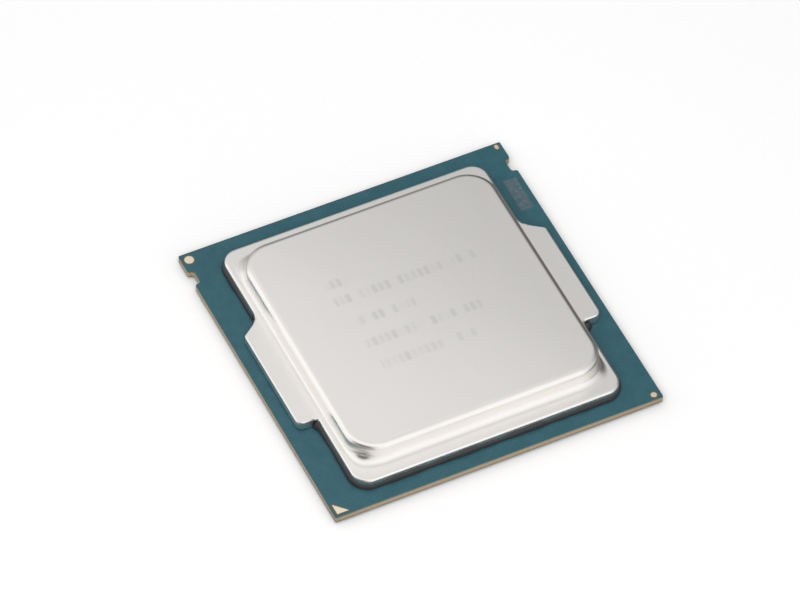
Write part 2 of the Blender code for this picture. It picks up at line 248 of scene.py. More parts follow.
# The surroundings: bright to the front left, dim to the back right, and a little dimmer
# straight overhead. Each pair is a direction's dot product with DIM_SIDE and its brightness.
DIM_SIDE = Vector((0.8, 0.6, 0.0))
BRIGHTNESS_TOWARDS_DIM_SIDE = (
    (-1.0, 0.96),
    (-0.5, 0.99),
    (-0.3, 1.10),
    (-0.1, 1.06),
    (0.0, 0.96),
    (0.2, 0.79),
    (0.36, 0.67),
    (0.57, 0.66),
    (0.70, 0.36),
    (0.82, 0.12),
    (1.0, 0.05),
)

# The dimming overhead comes in as a direction's z rises from one value to the other.
OVERHEAD_FROM = 0.86
OVERHEAD_TO = 0.98
OVERHEAD_SHARE = 0.9
BACKDROP_BRIGHTNESS = 1.0

# The floor, white to the camera; reflected rays on the dim side see its colour in painted shade.
FLOOR_HALF = 1200.0
FLOOR_WHITE = (0.80, 0.80, 0.80)
FLOOR_WHITEST = (0.83, 0.83, 0.83)
FLOOR_REFLECTION_SHADE = (0.17, 0.155, 0.145)
DIM_SIDE_FADE = 6.0

# Something dark beyond the front left corner in the studio's light, and a patch of floor below it
# whose colour is painted shade in reflections.
DARK_THING_TOWARDS = Vector((-0.81, -0.56, 0.12)).normalized()
DARK_THING_FROM = math.radians(36)
DARK_THING_TO = math.radians(28)
DARK_THING_BRIGHTNESS = 0.05
DIM_PATCH_PLACE = Vector((-32.0, -28.0, 0.0))
DIM_PATCH_RADIUS = 19.0
DIM_PATCH_FADE = 3.0

# A soft panel close above the part, whose edge gives the lid's top its gentle gradient.
PANEL_SIDE = Vector((0.866, 0.5, 0.0))
PANEL_PLACE = Vector((13.5, 50.5, 90.0))
PANEL_DEPTH = 36.0
PANEL_WIDTH = 100.0
PANEL_BRIGHTNESS = 0.33

# A large soft lamp for matt surfaces only, above the front left.
LAMP_PLACE = Vector((-250.0, -350.0, 600.0))
LAMP_SIZE = 500.0
LAMP_POWER = 3.6


# Outlines ---------------------------------------------------------------------------


def rounded_outline(corners, steps=12):
    """Points round a polygon whose corners, (x, y, radius), are turned into arcs."""
    points = []
    count = len(corners)
    for index, (x, y, radius) in enumerate(corners):
        here = Vector((x, y))
        before = Vector(corners[index - 1][:2])
        after = Vector(corners[(index + 1) % count][:2])
        if radius <= 0:
            points.append(here)
            continue
        to_before = (before - here).normalized()
        to_after = (after - here).normalized()
        half_angle = to_before.angle(to_after) / 2
        centre = here + (to_before + to_after).normalized() * (radius / math.sin(half_angle))
        start = here + to_before * (radius / math.tan(half_angle)) - centre
        turn = math.pi - 2 * half_angle
        if to_before.x * to_after.y - to_before.y * to_after.x > 0:
            turn = -turn
        for step in range(steps + 1):
            angle = turn * step / steps
            spoke = Vector((
                start.x * math.cos(angle) - start.y * math.sin(angle),
                start.x * math.sin(angle) + start.y * math.cos(angle),
            ))
            points.append(centre + spoke)
    return points


def inset_corners(corners, distance):
    """The same rounded polygon, counter-clockwise, moved inwards by a distance."""
    moved = []
    count = len(corners)
    for index, (x, y, radius) in enumerate(corners):
        here = Vector((x, y))
        along_in = (here - Vector(corners[index - 1][:2])).normalized()
        along_out = (Vector(corners[(index + 1) % count][:2]) - here).normalized()
        inward_in = Vector((-along_in.y, along_in.x))
        inward_out = Vector((-along_out.y, along_out.x))
        mitre = (inward_in + inward_out) / (1 + inward_in.dot(inward_out))
        is_convex = along_in.x * along_out.y - along_in.y * along_out.x > 0
        new_radius = radius - distance if is_convex else radius + distance
        corner = here + mitre * distance
        moved.append((corner.x, corner.y, max(new_radius, SMALLEST_RADIUS) if radius > 0 else 0))
    return moved


def shifted(corners, offset_y):
    return [(x, y + offset_y, radius) for x, y, radius in corners]


def rectangle(half_x, half_y, radius=0.0, centre=(0.0, 0.0)):
    x, y = centre[0], centre[1]
    return [
        (x - half_x, y - half_y, radius),
        (x + half_x, y - half_y, radius),
        (x + half_x, y + half_y, radius),
        (x - half_x, y + half_y, radius),
    ]


def notch_corners(side):
    """Corners of one key notch, in the order met going counter-clockwise."""
    centre_y = BOARD_HALF - NOTCH_FROM_BACK
    half = NOTCH_WIDTH / 2
    corners = [
        (side * BOARD_HALF, centre_y - half, NOTCH_MOUTH_RADIUS),
        (side * (BOARD_HALF - NOTCH_DEPTH), centre_y - half, NOTCH_FLOOR_RADIUS),
        (side * (BOARD_HALF - NOTCH_DEPTH), centre_y + half, NOTCH_FLOOR_RADIUS),
        (side * BOARD_HALF, centre_y + half, NOTCH_MOUTH_RADIUS),
    ]
    return corners if side > 0 else corners[::-1]


def board_corners():
    square = rectangle(BOARD_HALF, BOARD_HALF, BOARD_CORNER_RADIUS)
    front_left, front_right, back_right, back_left = square
    right_notch, left_notch = notch_corners(1), notch_corners(-1)
    return [front_left, front_right, *right_notch, back_right, back_left, *left_notch]


def flange_corners():
    """The lid's flange, with a clamping ear in the middle of each side."""
    front_left, front_right, back_right, back_left = rectangle(
        FLANGE_HALF_X, FLANGE_HALF_Y, FLANGE_CORNER_RADIUS)
    right_ear = [
        (FLANGE_HALF_X, EAR_FRONT_Y, EAR_FRONT_ROOT_RADIUS),
        (EAR_HALF_X, EAR_FRONT_Y, EAR_FRONT_RADIUS),
        (EAR_HALF_X, EAR_BACK_OUTER_Y, EAR_BACK_RADIUS),
        (FLANGE_HALF_X, EAR_BACK_ROOT_Y, EAR_BACK_ROOT_RADIUS),
    ]
    left_ear = [(-x, y, radius) for x, y, radius in reversed(right_ear)]
    corners = [front_left, front_right, *right_ear, back_right, back_left, *left_ear]
    return shifted(corners, LID_CENTRE_Y)


# Meshes -----------------------------------------------------------------------------


def add_ring(builder, outline, z):
    return [builder.verts.new((p.x * MM, p.y * MM, z * MM)) for p in outline]


def bridge(builder, lower, upper):
    count = len(lower)
    for index in range(count):
        following = (index + 1) % count
        builder.faces.new((lower[index], lower[following], upper[following], upper[index]))


def bridge_all(builder, rings):
    for lower, upper in zip(rings, rings[1:]):
        bridge(builder, lower, upper)


def fill_between(builder, outer, inner):
    """A flat face from an outer ring to a convex inner ring that has its own points."""
    ring_verts = outer + inner
    points = [Vector((v.co.x, v.co.y)) / MM for v in ring_verts]
    edges = []
    for start, ring in ((0, outer), (len(outer), inner)):
        count = len(ring)
        edges += [(start + i, start + (i + 1) % count) for i in range(count)]
    result = delaunay_2d_cdt(points, edges, [], 1, 1e-6)
    faces, sources = result[2], result[3]
    for face in faces:
        corners = [sources[index][0] for index in face]
        if min(corners) >= len(outer):
            continue
        builder.faces.new([ring_verts[index] for index in corners])


def quarter(radius, steps, inset_of, level_of):
    """(inset, level) pairs along a quarter circle, from two functions of the angle."""
    angles = [math.pi / 2 * step / steps for step in range(steps + 1)]
    return [(radius * inset_of(angle), radius * level_of(angle)) for angle in angles]


def lower_rounding(radius, z, steps=6):
    """A convex edge from a flat underside at z, out and up to the wall."""
    pairs = quarter(radius, steps, lambda a: 1 - math.sin(a), lambda a: 1 - math.cos(a))
    return [(inset, z + rise) for inset, rise in pairs]


def upper_rounding(radius, z, steps=8):
    """A convex edge from the wall, in and up to a flat top at z."""
    pairs = quarter(radius, steps, lambda a: 1 - math.cos(a), lambda a: 1 - math.sin(a))
    return [(inset, z - drop) for inset, drop in pairs]


def rings_of(builder, corners, profile, steps=12):
    return [
        add_ring(builder, rounded_outline(inset_corners(corners, inset), steps), z)
        for inset, z in profile
    ]


def object_from(name, builder, material):
    mesh = bpy.data.meshes.new(name)
    builder.to_mesh(mesh)
    builder.free()
    mesh.materials.append(material)
    made = bpy.data.objects.new(name, mesh)
    bpy.context.scene.collection.objects.link(made)
    return made


def finish_piece(name, builder, material, replaced=(), sharp_angle=40):
    """Turns a builder into an object that rides on the package's one body."""
    bmesh.ops.recalc_face_normals(builder, faces=builder.faces)
    piece = object_from(name, builder, material)
    piece.data.shade_smooth()
    piece.data.set_sharp_from_angle(angle=math.radians(sharp_angle))
    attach(piece, "root")
    if replaced:
        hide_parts(*replaced)


def add_solid(builder, corners, profile, steps=12):
    """A closed solid through one outline's insets, with a flat cap at both ends."""
    rings = rings_of(builder, corners, profile, steps)
    bridge_all(builder, rings)
    builder.faces.new(list(reversed(rings[0])))
    builder.faces.new(rings[-1])


def soft_edged(bottom, top, radius, steps=3):
    """The profile of a layer with both edges rounded."""
    lower = lower_rounding(radius, bottom, steps)
    upper = upper_rounding(radius, top, steps)
    return [(radius + SUPPORT, bottom), *lower, *upper, (radius + SUPPORT, top)]


# Materials --------------------------------------------------------------------------


class Look:
    """One material's node tree, with a short call for each kind of node used here."""

    def __init__(self, name, metallic=0.0):
        self.material = bpy.data.materials.new(name)
        self.material.use_nodes = True
        self.tree = self.material.node_tree
        self.shader = self.tree.nodes["Principled BSDF"]
        self.shader.inputs["Metallic"].default_value = metallic
        metres = self.add("TexCoord").outputs["Object"]
        scaled = self.add("VectorMath", {0: metres, "Scale": 1 / MM}, operation="SCALE")
        self.place = scaled.outputs[0]

    def add(self, kind, inputs=None, **settings):
        made = self.tree.nodes.new("ShaderNode" + kind)
        for name, value in settings.items():
            setattr(made, name, value)
        for name, value in (inputs or {}).items():
            self.feed(made.inputs[name], value)
        return made

    def feed(self, socket, value):
        if isinstance(value, bpy.types.NodeSocket):
            self.tree.links.new(value, socket)
        else:
            socket.default_value = value

    def set(self, **values):
        for name, value in values.items():
            self.feed(self.shader.inputs[name.replace("_", " ").title()], value)

    def vector_maths(self, operation, first, second):
        return self.add("VectorMath", {0: first, 1: second}, operation=operation).outputs[0]

    def stretched(self, *factors):
        return self.vector_maths("MULTIPLY", self.place, factors)

    def turned(self, degrees):
        turn = self.add(
            "VectorRotate", {"Vector": self.place, "Angle": math.radians(degrees)},
            rotation_type="Z_AXIS")
        return turn.outputs[0]

    def noise(self, scale, detail=3.0, place=None):
        made = self.add("TexNoise", {
            "Vector": place or self.place, "Scale": scale,
            "Detail": detail, "Roughness": NOISE_ROUGHNESS})
        return made.outputs["Fac"]

    def cells(self, scale):
        """Distance from the nearest of many scattered points."""
        return self.add("TexVoronoi", {"Vector": self.place, "Scale": scale}).outputs["Distance"]

    def chance(self, place):
        """A random number from 0 to 1 for each place."""
        made = self.add("TexWhiteNoise", {"Vector": place}, noise_dimensions="2D")
        return made.outputs["Value"]

    def axis(self, name, place=None):
        return self.add("SeparateXYZ", {0: place or self.place}).outputs[name]

    def maths(self, operation, first, second=0.0, third=0.0):
        made = self.add("Math", {0: first, 1: second, 2: third}, operation=operation)
        return made.outputs[0]

    def within(self, value, middle, half):
        """1 where the value is within half of the middle, else 0."""
        return self.maths("COMPARE", value, middle, half)

    def remap(self, value, from_low, from_high, to_low, to_high):
        made = self.add("MapRange", {
            "Value": value, "From Min": from_low, "From Max": from_high,
            "To Min": to_low, "To Max": to_high})
        return made.outputs[0]

    def spread(self, noise, to_low, to_high):
        """A noise's usual values, mapped to a range."""
        return self.remap(noise, NOISE_LOW, NOISE_HIGH, to_low, to_high)

    def mix(self, share, first, second):
        """A colour between two colours, given as three numbers or as a socket."""
        first, second = (
            (*colour, 1.0) if isinstance(colour, tuple) else colour for colour in (first, second))
        made = self.add("Mix", {0: share, 6: first, 7: second}, data_type="RGBA")
        return made.outputs[2]

    def bump(self, height, depth, previous=None):
        """Relief whose full height is depth, in millimetres."""
        made = self.add("Bump", {"Height": height, "Distance": depth * MM, "Strength": 1.0})
        if previous:
            self.feed(made.inputs["Normal"], previous)
        return made.outputs["Normal"]


def soft_band(look, value, middle, half):
    """1 within half of the middle, and 0 outside it, with a soft edge."""
    distance = look.maths("ABSOLUTE", look.maths("SUBTRACT", value, middle))
    return look.remap(distance, half - ETCHED_SOFTNESS, half + ETCHED_SOFTNESS, 1.0, 0.0)


def etched_bars(look):
    """Up to 1 on the plain bars etched on the lid's top, and 0 elsewhere."""
    x, y = look.axis("X"), look.axis("Y")
    rows, row_number = 0.0, 0.0
    for number, (middle_y, first_x, last_x) in enumerate(ETCHED_ROWS, start=1):
        across = soft_band(look, y, middle_y, ETCHED_ROW_HALF_HEIGHT)
        along = soft_band(look, x, (first_x + last_x) / 2, (last_x - first_x) / 2)
        rows = look.maths("MULTIPLY_ADD", across, along, rows)
        in_row = look.within(y, middle_y, 2 * ETCHED_ROW_HALF_HEIGHT)
        row_number = look.maths("MULTIPLY_ADD", in_row, float(number), row_number)
    column = look.maths("DIVIDE", x, ETCHED_BAR_PITCH)
    from_middle = look.maths("MULTIPLY", look.maths("FRACT", column), ETCHED_BAR_PITCH)
    in_bar = soft_band(look, from_middle, ETCHED_BAR_PITCH / 2, ETCHED_BAR_HALF_WIDTH)
    cell = look.add("CombineXYZ", {0: look.maths("FLOOR", column), 1: row_number})
    chance = look.chance(cell.outputs[0])
    strength = look.remap(chance, ETCHED_CHANCE_FROM, ETCHED_CHANCE_TO, 0.0, 1.0)
    bars = look.maths("MULTIPLY", look.maths("MULTIPLY", rows, in_bar), strength)
    above = look.maths("GREATER_THAN", look.axis("Z"), ETCHED_LOWEST_Z)
    return look.maths("MULTIPLY", bars, above)


def scratches(look, degrees, seed):
    """Thin, long marks in one direction: 1 on a mark, 0 elsewhere."""
    moved = look.vector_maths("ADD", look.turned(degrees), (seed, seed * 1.7, 0))
    drawn_out = look.vector_maths("MULTIPLY", moved, SCRATCH_STRETCH)
    return look.remap(look.noise(1.0, 1.0, drawn_out), SCRATCH_FROM, SCRATCH_TO, 0.0, 1.0)


def nickel_look():
    """Satin nickel plate on the stamped lid, with etched bars and handling marks."""
    look = Look("satin_nickel", metallic=1.0)
    bars = etched_bars(look)
    broad = look.noise(0.12, 2.0)
    grain = look.noise(16.0, 4.0)
    marks = look.maths("MAXIMUM", scratches(look, 24, 3.0), scratches(look, -63, 11.0))
    tone = look.mix(broad, NICKEL_DULL, NICKEL_BRIGHT)
    tone = look.mix(look.maths("MULTIPLY", bars, 0.7), tone, ETCHED_GREY)
    shine = look.spread(grain, 0.27, 0.35)
    shine = look.maths("MULTIPLY_ADD", bars, 0.05, shine)
    shine = look.maths("MULTIPLY_ADD", marks, -0.03, shine)
    relief = look.bump(grain, 0.0018)
    relief = look.bump(marks, -0.0003, relief)
    relief = look.bump(look.noise(0.35, 2.0), 0.004, relief)
    look.set(base_color=tone, roughness=shine, normal=relief)
    return look.material


def mask_look():
    """Teal solder mask over copper traces and planes."""
    look = Look("teal_solder_mask")
    mottle = look.noise(0.8, 5.0)
    fine = look.noise(9.0, 3.0)
    diagonal = look.axis("X", look.turned(TRACE_DEGREES))
    wave = look.maths("PINGPONG", diagonal, TRACE_HALF_PITCH)
    trace = look.remap(wave, 0.05, 0.09, 0.0, 1.0)
    has_traces = look.remap(look.noise(0.45, 1.0), 0.5, 0.56, 0.0, 1.0)
    fanned = look.maths("MULTIPLY", trace, has_traces)
    vias = look.remap(look.cells(1.6), 0.09, 0.13, 1.0, 0.0)
    tone = look.mix(mottle, MASK_DARK, MASK_LIGHT)
    tone = look.mix(look.maths("MULTIPLY", fanned, 0.25), tone, MASK_OVER_TRACE)
    tone = look.mix(look.maths("MULTIPLY", vias, 0.4), tone, MASK_OVER_VIA)
    relief = look.bump(look.maths("SUBTRACT", fanned, vias), 0.006)
    relief = look.bump(fine, 0.0015, relief)
    look.set(base_color=tone, roughness=look.spread(fine, 0.24, 0.34), normal=relief)
    look.shader.inputs["Specular IOR Level"].default_value = 0.35
    return look.material


def laminate_look(name, dark, light, fibres):
    """Cut edge of the board: resin with glass cloth in it, whose fibres have a share of 0 to 1."""
    look = Look(name)
    cloth = look.noise(3.0, 4.0, look.stretched(1.0, 1.0, 9.0))
    fibre = look.noise(1.0, 3.0, look.stretched(14.0, 14.0, 50.0))
    share = look.maths("MULTIPLY_ADD", fibre, fibres, look.maths("MULTIPLY", cloth, 1 - fibres))
    look.set(base_color=look.mix(share, dark, light))
    look.set(roughness=look.spread(cloth, 0.5, 0.7), normal=look.bump(fibre, 0.008))
    return look.material


def metal_look(name, dull, bright, rough_low, rough_high, grain_scale, depth):
    """A plated or soldered metal with grain."""
    look = Look(name, metallic=1.0)
    grain = look.noise(grain_scale, 4.0)
    broad = look.noise(grain_scale / 8, 2.0)
    look.set(base_color=look.mix(broad, dull, bright))
    look.set(roughness=look.spread(grain, rough_low, rough_high), normal=look.bump(grain, depth))
    return look.material


def compound_look(name, dark, light, rough_low, rough_high, speckle_scale, depth):
    """Resin, silicone, ceramic and paste: speckled, with a fine uneven surface."""
    look = Look(name)
    speckle = look.noise(speckle_scale, 5.0)
    broad = look.noise(speckle_scale / 10, 2.0)
    share = look.maths("MULTIPLY_ADD", speckle, 0.6, look.maths("MULTIPLY", broad, 0.4))
    look.set(base_color=look.mix(share, dark, light))
    look.set(roughness=look.spread(speckle, rough_low, rough_high))
    look.set(normal=look.bump(speckle, depth))
    return look.material


def dot_code_look():
    """A generic square grid of pale dots burnt into the mask, in a mottled patch."""
    look = Look("laser_dot_grid")
    grid = look.stretched(1 / DOT_PITCH, 1 / DOT_PITCH, 0)
    cell = look.add("VectorMath", {0: grid}, operation="FLOOR")
    burnt = look.maths("GREATER_THAN", look.chance(cell.outputs[0]), DOTS_LEFT_OUT)
    pale = look.mix(look.spread(look.noise(2.2), 0.0, 1.0), UNIT_MARK_DARK, UNIT_MARK_PALE)
    tone = look.mix(look.maths("MULTIPLY_ADD", burnt, 0.45, 0.3), UNIT_MARK_GROUND, pale)
    relief = look.bump(burnt, -0.003)
    look.set(base_color=tone, roughness=look.remap(burnt, 0.0, 1.0, 0.35, 0.65), normal=relief)
    return look.material


def floor_look():
    """White paper, with painted shade in its colour for reflected rays on the dim side and in a
    patch, so that the metal's edges read in its reflections.
    """
    look = Look("pale_floor")
    paper = look.noise(2.0, 4.0)
    towards = look.add("VectorMath", {0: look.place, 1: DIM_SIDE}, operation="DOT_PRODUCT")
    on_dim_side = look.remap(towards.outputs["Value"], -DIM_SIDE_FADE, DIM_SIDE_FADE, 0.0, 1.0)
    away = look.add("VectorMath", {0: look.place, 1: DIM_PATCH_PLACE}, operation="DISTANCE")
    in_shade_patch = look.remap(
        away.outputs["Value"], DIM_PATCH_RADIUS, DIM_PATCH_RADIUS - DIM_PATCH_FADE, 0.0, 1.0)
    reflected = look.add("LightPath").outputs["Is Glossy Ray"]
    # Painted shade: reflected rays see the floor dark on the dim side and in the patch.
    reflection_shade = look.maths("MULTIPLY", reflected, look.maths("MAXIMUM", on_dim_side, in_shade_patch))
    white = look.mix(paper, FLOOR_WHITE, FLOOR_WHITEST)
    look.set(base_color=look.mix(reflection_shade, white, FLOOR_REFLECTION_SHADE))
    look.set(roughness=look.spread(paper, 0.7, 0.8), normal=look.bump(paper, 0.01))
    return look.material


def make_looks():
    """One look for each material slot, and one for the bare resin round the gold marks."""
    return {
        "nickel_plate": nickel_look(),
        "solder_mask": mask_look(),
        "fibreglass": laminate_look(
            "glass_laminate", (0.20, 0.135, 0.080), (0.47, 0.37, 0.25), 0.6),
        "buildup_resin": laminate_look(
            "buildup_film", (0.13, 0.10, 0.06), (0.30, 0.23, 0.13), 0.2),
        "copper": metal_look(
            "plane_copper", (0.55, 0.25, 0.14), (0.80, 0.42, 0.26), 0.3, 0.5, 8, 0.002),
        "gold": metal_look(
            "plated_gold", (0.94, 0.80, 0.60), (1.0, 0.90, 0.74), 0.22, 0.34, 14, 0.0012),
        "solder": metal_look(
            "tin_solder", (0.50, 0.50, 0.51), (0.72, 0.72, 0.72), 0.25, 0.45, 10, 0.004),
        "ceramic": compound_look(
            "capacitor_ceramic", (0.16, 0.09, 0.055), (0.33, 0.21, 0.13), 0.4, 0.6, 12, 0.003),
        "sealant": compound_look(
            "black_silicone", (0.016, 0.016, 0.017), (0.042, 0.042, 0.044), 0.38, 0.55, 9, 0.006),
        "silicon": compound_look(
            "ground_silicon", (0.07, 0.08, 0.10), (0.12, 0.13, 0.15), 0.12, 0.22, 20, 0.0005),
        "thermal_paste": compound_look(
            "grey_paste", (0.30, 0.31, 0.32), (0.50, 0.51, 0.52), 0.6, 0.8, 5, 0.01),
        "underfill": compound_look(
            "underfill_resin", (0.05, 0.035, 0.02), (0.12, 0.085, 0.05), 0.2, 0.35, 6, 0.003),
        "laser_mark": dot_code_look(),
        "bare_resin": compound_look(
            "bare_resin", (0.07, 0.06, 0.04), (0.15, 0.12, 0.075), 0.45, 0.6, 10, 0.003),
    }


# Pieces -----------------------------------------------------------------------------


def top_rings(builder, edge_ring):
    """Rings that shrink from the top's edge towards its middle."""
    rings = []
    centre_y = LID_CENTRE_Y * MM
    for number in range(1, TOP_RINGS):
        share = 1 - number / TOP_RINGS
        rings.append([
            builder.verts.new((
                vertex.co.x * share, centre_y + (vertex.co.y - centre_y) * share, vertex.co.z))
            for vertex in edge_ring
        ])
    return rings


def crown_vertex(vertex):
    """Lowers the raised part slightly towards its edges, as the press leaves it."""
    x, y, z = vertex.co / MM
    rise = (z - FLANGE_TOP) / (LID_TOP - FLANGE_TOP)
    away = (x / PLATEAU_HALF_X) ** 2 + ((y - LID_CENTRE_Y) / PLATEAU_HALF_Y) ** 2
    vertex.co.z = (z - TOP_CROWN * away * rise) * MM


def foot_rings(builder, plateau):
    """The fillet at the raised part's foot: narrow at the sides, and widest at the corners."""
    wall = rounded_outline(plateau, PLATEAU_CORNER_STEPS)
    one_further = rounded_outline(inset_corners(plateau, -1.0), PLATEAU_CORNER_STEPS)
    outward = [outer - inner for inner, outer in zip(wall, one_further)]
    radii = [
        SIDE_FOOT_RADIUS + (FRONT_FOOT_RADIUS - SIDE_FOOT_RADIUS) * direction.y ** 2
        + CORNER_FOOT_SWELL * abs(2 * direction.x * direction.y) ** 3
        for direction in outward
    ]
    made = []
    for number in range(-1, FOOT_RINGS):
        angle = math.pi / 2 * max(number, 0) / (FOOT_RINGS - 1)
        support = SUPPORT if number < 0 else 0.0
        made.append([
            builder.verts.new((
                (point.x + away.x * (radius * (1 - math.sin(angle)) + support)) * MM,
                (point.y + away.y * (radius * (1 - math.sin(angle)) + support)) * MM,
                (FLANGE_TOP + radius * (1 - math.cos(angle))) * MM,
            ))
            for point, away, radius in zip(wall, outward, radii)
        ])
    return made


def sharpen_ears(rings):
    """Pulls the ears' rounded top edge back towards its corner, as shearing leaves it."""
    wall = rings[len(lower_rounding(FLANGE_BOTTOM_RADIUS, LID_BOTTOM))]
    keep = 1 - EAR_EDGE_SHARPNESS
    for ring in rings:
        for vertex, outermost in zip(ring, wall):
            is_on_ear = abs(outermost.co.x) > (FLANGE_HALF_X + EAR_FRONT_ROOT_RADIUS) * MM
            if is_on_ear and vertex.co.z > wall[0].co.z:
                drop = FLANGE_TOP * MM - vertex.co.z
                vertex.co.xy = outermost.co.xy.lerp(vertex.co.xy, keep)
                vertex.co.z = FLANGE_TOP * MM - drop * keep


def add_flange(builder):
    """The flange's and ears' outer wall, as rings from the underside to the top face."""
    profile = [
        (FLANGE_BOTTOM_RADIUS + SUPPORT, LID_BOTTOM),
        *lower_rounding(FLANGE_BOTTOM_RADIUS, LID_BOTTOM),
        *upper_rounding(FLANGE_TOP_RADIUS, FLANGE_TOP),
        (FLANGE_TOP_RADIUS + SUPPORT, FLANGE_TOP),
    ]
    rings = rings_of(builder, flange_corners(), profile)
    sharpen_ears(rings)
    bridge_all(builder, rings)
    return rings


def add_raised_top(builder, flange_ring):
    """The raised part, and the flange's flat top between it and the flange's last ring."""
    corners = shifted(
        rectangle(PLATEAU_HALF_X, PLATEAU_HALF_Y, PLATEAU_CORNER_RADIUS), LID_CENTRE_Y)
    shoulder = upper_rounding(PLATEAU_EDGE_RADIUS, LID_TOP, PLATEAU_EDGE_STEPS)
    profile = [
        *[(inset + PLATEAU_DRAFT, z) for inset, z in shoulder],
        (PLATEAU_EDGE_RADIUS + PLATEAU_DRAFT + SUPPORT, LID_TOP),
    ]
    rings = foot_rings(builder, corners)
    rings += rings_of(builder, corners, profile, PLATEAU_CORNER_STEPS)
    rings += top_rings(builder, rings[-1])
    bridge_all(builder, rings)
    fill_between(builder, flange_ring, rings[0])
    builder.faces.new(rings[-1])
    for ring in rings:
        for vertex in ring:
            crown_vertex(vertex)


def add_pocket(builder, flange_ring):
    """The pocket over the die, and the rim's flat underside round it."""
    corners = shifted(rectangle(POCKET_HALF_X, POCKET_HALF_Y, POCKET_CORNER_RADIUS), LID_CENTRE_Y)
    mouth = quarter(
        POCKET_EDGE_RADIUS, POCKET_EDGE_STEPS, lambda a: math.sin(a) - 1, lambda a: 1 - math.cos(a))
    profile = [
        (-POCKET_EDGE_RADIUS - SUPPORT, LID_BOTTOM),
        *[(inset, LID_BOTTOM + rise) for inset, rise in mouth],
        *upper_rounding(POCKET_EDGE_RADIUS, POCKET_CEILING, POCKET_EDGE_STEPS),
        (POCKET_EDGE_RADIUS + SUPPORT, POCKET_CEILING),
    ]
    rings = rings_of(builder, corners, profile)
    bridge_all(builder, rings)
    fill_between(builder, flange_ring, rings[0])
    builder.faces.new(rings[-1])


def build_lid(looks):
    """The stamped lid: flange and ears below, raised top above, and the pocket under it."""
    builder = bmesh.new()
    flange = add_flange(builder)
    add_raised_top(builder, flange[-1])
    add_pocket(builder, flange[0])
    finish_piece("lid_stamped", builder, looks["nickel_plate"],
                 ["heat_spreader"], sharp_angle=60)


def build_board(looks):
    """Two lacquers, two build-up stacks that close over the copper planes, and the core."""
    corners = board_corners()
    layers = (
        ("lacquer_bottom", "solder_mask_bottom", "solder_mask", BOARD_BOTTOM, LOWER_BUILDUP_Z, 0.5),
        ("laminate_core", "substrate_core", "fibreglass", CORE_Z, UPPER_COPPER_Z, 1),
        ("lacquer_top", "solder_mask_top", "solder_mask", UPPER_MASK_Z, BOARD_TOP, 0.5),
    )
    for name, node, slot, bottom, top, roundness in layers:
        builder = bmesh.new()
        add_solid(builder, corners, soft_edged(bottom, top, BOARD_EDGE_RADIUS * roundness))
        finish_piece(name, builder, looks[slot], [node])

    stacks = (
        ("buildup_lower", "buildup_layers_bottom", LOWER_BUILDUP_Z, LOWER_COPPER_Z, CORE_Z),
        ("buildup_upper", "buildup_layers_top", UPPER_MASK_Z, UPPER_BUILDUP_Z, UPPER_COPPER_Z),
    )
    for name, node, outer_z, copper_z, core_z in stacks:
        builder = bmesh.new()
        profile = [
            (COPPER_PULLBACK - GAP, copper_z),
            (COPPER_PULLBACK - GAP, core_z),
            (0.0, core_z),
            (0.0, outer_z),
        ]
        add_solid(builder, corners, profile)
        finish_piece(name, builder, looks["buildup_resin"], [node])


def bead_path():
    """Points and outward directions along the flange's rim, from vent to vent."""
    front_left, front_right, back_right, back_left = shifted(
        rectangle(FLANGE_HALF_X, FLANGE_HALF_Y, FLANGE_CORNER_RADIUS), LID_CENTRE_Y)
    vent_left = (-BEAD_VENT_HALF, back_left[1], 0)
    vent_right = (BEAD_VENT_HALF, back_left[1], 0)
    outline = rounded_outline([
        vent_left, back_left, front_left, front_right, back_right, vent_right])
    path = []
    for start, end in zip(outline, outline[1:]):
        parts = max(1, round((end - start).length / BEAD_STEP))
        path += [start.lerp(end, part / parts) for part in range(parts)]
    path.append(outline[-1])
    directions = []
    for index in range(len(path)):
        before, after = path[max(index - 1, 0)], path[min(index + 1, len(path) - 1)]
        along = (after - before).normalized()
        directions.append(Vector((along.y, -along.x)))
    return path, directions


def bead_section(reach, climb):
    """(outward, up) points round the bead's section, which climbs the rim's outer wall; the climb
    is partly painted shade.
    """
    height = LID_BOTTOM - BOARD_TOP
    section = [(-BEAD_INNER_INSET, height - GAP), (-BEAD_INNER_INSET, GAP)]
    for step in range(BEAD_SECTION_STEPS + 1):
        angle = math.pi / 2 * step / BEAD_SECTION_STEPS
        outward = GAP + (reach - GAP) * math.cos(angle) ** BEAD_FULLNESS
        section.append((outward, GAP + (height - 2 * GAP + climb) * math.sin(angle)))
    section.append((GAP, height - 3 * GAP))
    return section


def is_under_ear(point):
    along = point.y - LID_CENTRE_Y
    return abs(point.x) > FLANGE_HALF_X - GAP and EAR_FRONT_Y < along < EAR_BACK_FILLET_END_Y


def wave_at(travelled):
    """The bead's unevenness after a distance along it."""
    return sum(share * math.sin(travelled * rate + start) for rate, start, share in BEAD_WAVES)


def swell_and_shade_by_ear(point):
    """Extra reach and climb where the bead meets an ear's front root, partly painted shade there.
    """
    gap = abs(point.y - LID_CENTRE_Y - EAR_FRONT_Y)
    for side, reach in BEAD_ROOT_SHADE_SWELLS:
        if point.x * side > FLANGE_HALF_X - GAP and gap < BEAD_ROOT_LENGTH:
            share = 1 - (gap / BEAD_ROOT_LENGTH) ** 2
            return reach * share, BEAD_ROOT_SHADE_CLIMB * share
    return 0.0, 0.0


